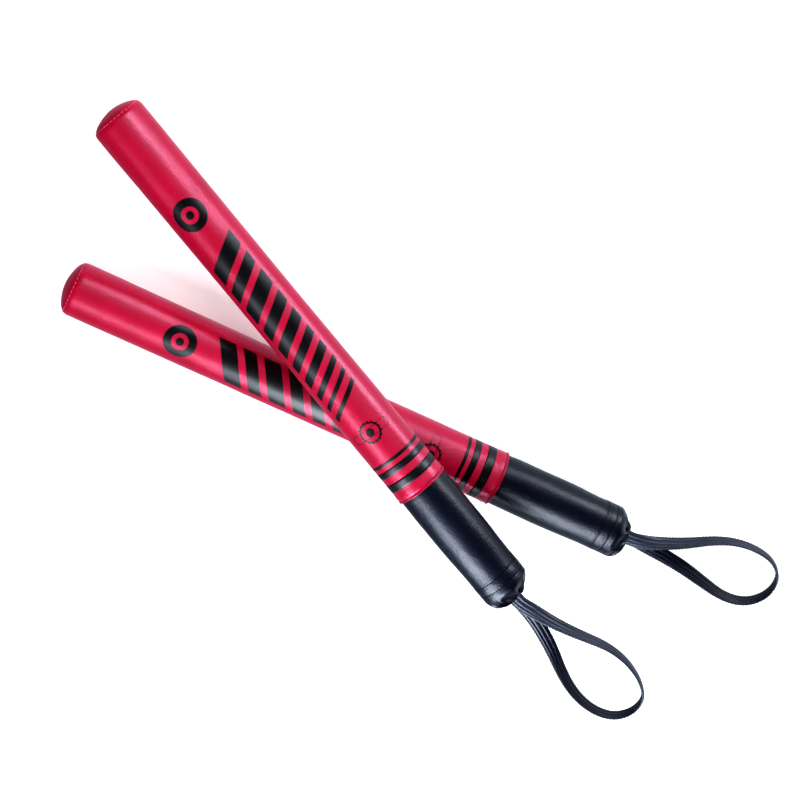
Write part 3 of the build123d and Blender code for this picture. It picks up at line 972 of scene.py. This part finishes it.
def softbox(name, place, target, size, radiance, gloss=True, diffuse=True, colour=(1, 1, 1)):
    """A rectangular lamp whose face has the given radiance. It may light gloss or matt shading only."""
    data = bpy.data.lights.new(name, "AREA")
    data.shape = "RECTANGLE"
    data.size, data.size_y = size
    data.energy = radiance * math.pi * size[0] * size[1]
    data.color = colour
    lamp = aimed(name, data, place, target)
    lamp.visible_camera = False
    lamp.visible_glossy = gloss
    lamp.visible_diffuse = diffuse


def surroundings():
    """A dim studio above and a pale reflector below the horizon."""
    world = bpy.data.worlds.new("studio")
    world.use_nodes = True
    nodes, links = world.node_tree.nodes, world.node_tree.links
    coordinates = nodes.new("ShaderNodeTexCoord")
    split = nodes.new("ShaderNodeSeparateXYZ")
    links.new(coordinates.outputs["Generated"], split.inputs["Vector"])
    above = ramp_node(nodes, links, split.outputs["Z"], 0.0, 0.04, ((1, 1, 1), (0, 0, 0)))
    floor = ramp_node(nodes, links, split.outputs["X"], 0.0, 1.0, ((0.62, 0.70, 0.84), (0.80, 0.86, 1.0)))
    spread = nodes.new("ShaderNodeMapRange")
    spread.inputs["From Min"].default_value = -0.75
    spread.inputs["From Max"].default_value = 0.15
    spread.inputs["To Min"].default_value = 0.12
    spread.inputs["To Max"].default_value = 1.0
    links.new(split.outputs["X"], spread.inputs["Value"])
    dim = nodes.new("ShaderNodeVectorMath")
    dim.operation = "SCALE"
    links.new(floor, dim.inputs[0])
    links.new(spread.outputs["Result"], dim.inputs["Scale"])
    mixed = nodes.new("ShaderNodeMix")
    mixed.data_type = "RGBA"
    mixed.inputs["A"].default_value = (0.012, 0.016, 0.032, 1)
    links.new(above, mixed.inputs["Factor"])
    links.new(dim.outputs["Vector"], mixed.inputs["B"])
    links.new(mixed.outputs["Result"], nodes["Background"].inputs["Color"])
    bpy.context.scene.world = world


def floor_paper():
    """Pale paper that glows softly, and fully white away from the pair."""
    material, nodes, links, shader = new_material("floor_paper")
    vector = place_node(nodes)
    fibres = noise_node(nodes, links, vector, 60, 3)
    tones = ((0.84, 0.84, 0.84), (0.88, 0.88, 0.88))
    links.new(ramp_node(nodes, links, fibres, 0.2, 0.8, tones), shader.inputs["Base Color"])
    away = nodes.new("ShaderNodeVectorMath")
    away.operation = "LENGTH"
    links.new(vector, away.inputs[0])
    glow = nodes.new("ShaderNodeMapRange")
    for socket, value in (("From Min", 0.7), ("From Max", 2.2), ("To Min", 0.30), ("To Max", 1.1)):
        glow.inputs[socket].default_value = value
    links.new(away.outputs["Value"], glow.inputs["Value"])
    links.new(glow.outputs["Result"], shader.inputs["Emission Strength"])
    shader.inputs["Emission Color"].default_value = (1, 1, 1, 1)
    shader.inputs["Roughness"].default_value = 0.9
    shader.inputs["Specular IOR Level"].default_value = 0.1
    return material


def studio():
    surroundings()
    for name, place, target, size, radiance in GLOSS_LAMPS:
        softbox(name, place, target, size, radiance, diffuse=False, colour=COOL)
    for name, place, target, size, radiance in MATT_LAMPS:
        softbox(name, place, target, size, radiance, gloss=False)
    paper = floor_paper()
    half = FLOOR_SIDE / 2
    corners = [(-half, -half, 0), (half, -half, 0), (half, half, 0), (-half, half, 0)]
    floor = mesh_piece("floor", corners, [(0, 1, 2, 3)], paper)
    wall_corners = corners + [(x, y, BACKDROP_HEIGHT) for x, y, _ in corners]
    backdrop = mesh_piece("backdrop", wall_corners, loft_faces(2, 4), paper, smooth=False)
    backdrop.visible_diffuse = False
    backdrop.visible_shadow = False
    for piece in (floor, backdrop):
        piece.visible_glossy = False


def camera():
    data = bpy.data.cameras.new("camera")
    data.lens = FOCAL_LENGTH_MM
    data.sensor_width = SENSOR_MM
    data.clip_start = 0.05
    eye = bpy.data.objects.new("camera", data)
    bpy.context.scene.collection.objects.link(eye)
    forward = -VIEW_OFFSET.normalized()
    right = forward.cross(Vector((0, 1, 0))).normalized()
    up = right.cross(forward)
    turn = Matrix((right, up, -forward)).transposed().to_4x4()
    eye.matrix_world = Matrix.Translation(VIEW_TARGET + VIEW_OFFSET) @ turn
    bpy.context.scene.camera = eye


# ---------------------------------------------------------------- the pair


def build_stick(prefix, route, seed, materials):
    stick = Stick(prefix)
    blade = Blade(stick, seed)
    handle = Handle(stick, blade, seed + 10)
    collar = Collar(stick, seed + 20)
    red, black = materials["red_leather"], materials["black_leather"]
    # The strap's two faces are lit and shaded copies of one leather: the lighter outer face is a painted
    # reflection of the floor.
    outer, inner = materials["strap_painted_lit_face"], materials["strap_painted_shaded_face"]
    wrist_strap(stick, route, outer, inner, materials["strap_thread"])
    blade_skin(stick, blade, red)
    tip_skin(stick, blade, red)
    handle_skin(stick, handle, black)
    end_collar(stick, collar, black)
    butt_filling(stick, collar, materials["foam"])
    prints(stick, blade, materials["print"])
    stitch_rows(
        stick, "tip_stitches", "tip_thread", "red_thread", materials["bright_thread"],
        [(blade.tip_stitch - 0.2, blade, TIP_STITCHES, 0.72, 0.42, seed + 30)],
    )
    stitch_rows(
        stick, "hem_stitches", "hem_thread", "red_thread", materials["red_thread"],
        [(blade.hem_stitch, blade, HEM_STITCHES, 0.78, 0.34, seed + 31)],
    )
    stitch_rows(
        stick, "collar_stitches", "collar_threads", "black_thread", materials["black_thread"],
        [(line, collar.straight, COLLAR_STITCHES, 0.74, 0.33, seed + 32) for line in collar.stitch_lines],
    )


bpy.context.scene.view_settings.view_transform = "Standard"
bpy.context.scene.view_settings.look = "High Contrast"
finishes = {
    "red_leather": leather(
        "red_leather", (0.40, 0.0, 0.036), (0.49, 0.0, 0.052), 0.31, 0.0013, 0.00026, tint=(1.0, 0.78, 0.96)
    ),
    "black_leather": leather(
        "black_leather", (0.0003, 0.0012, 0.0080), (0.0007, 0.0020, 0.0120), 0.37, 0.0013, 0.00028, shine=0.40
    ),
    # Strap leather in two copies: a lighter one with a painted floor reflection for the outer face, and a
    # darker shaded one for the other face.
    "strap_painted_lit_face": leather(
        "strap_painted_lit_face", (0.0100, 0.0135, 0.0300), (0.0180, 0.0235, 0.0480), 0.40, 0.0010, 0.00018
    ),
    "strap_painted_shaded_face": leather(
        "strap_painted_shaded_face", (0.0006, 0.0012, 0.0095), (0.0014, 0.0024, 0.0150), 0.42, 0.0010, 0.00018
    ),
    "print": ink("print_ink", (0.0016, 0.0010, 0.0016), 0.38),
    "bright_thread": spun_thread("bright_red_thread", (0.75, 0.03, 0.10), (0.95, 0.16, 0.28)),
    "red_thread": spun_thread("red_thread", (0.08, 0.0, 0.006), (0.20, 0.002, 0.014)),
    "black_thread": spun_thread("black_thread", (0.001, 0.001, 0.002), (0.004, 0.004, 0.006), 0.8, 0.1),
    "strap_thread": spun_thread("strap_thread", (0.004, 0.006, 0.014), (0.022, 0.028, 0.050), 0.4),
    "foam": foam("foam", (0.42, 0.40, 0.34), (0.66, 0.64, 0.58)),
    "pvc": moulded("pvc_tube", (0.70, 0.70, 0.68), (0.78, 0.78, 0.76), 0.35),
    "plug": moulded("plug_plastic", (0.035, 0.035, 0.038), (0.06, 0.06, 0.065), 0.5),
    "steel": moulded("pin_steel", (0.46, 0.46, 0.47), (0.62, 0.62, 0.63), 0.30, 1.0, 900),
}
camera()
build_stick("lower", LOWER_ROUTE, 3, finishes)
build_stick("upper", UPPER_ROUTE, 57, finishes)
paint_cad_nodes(finishes)
studio()
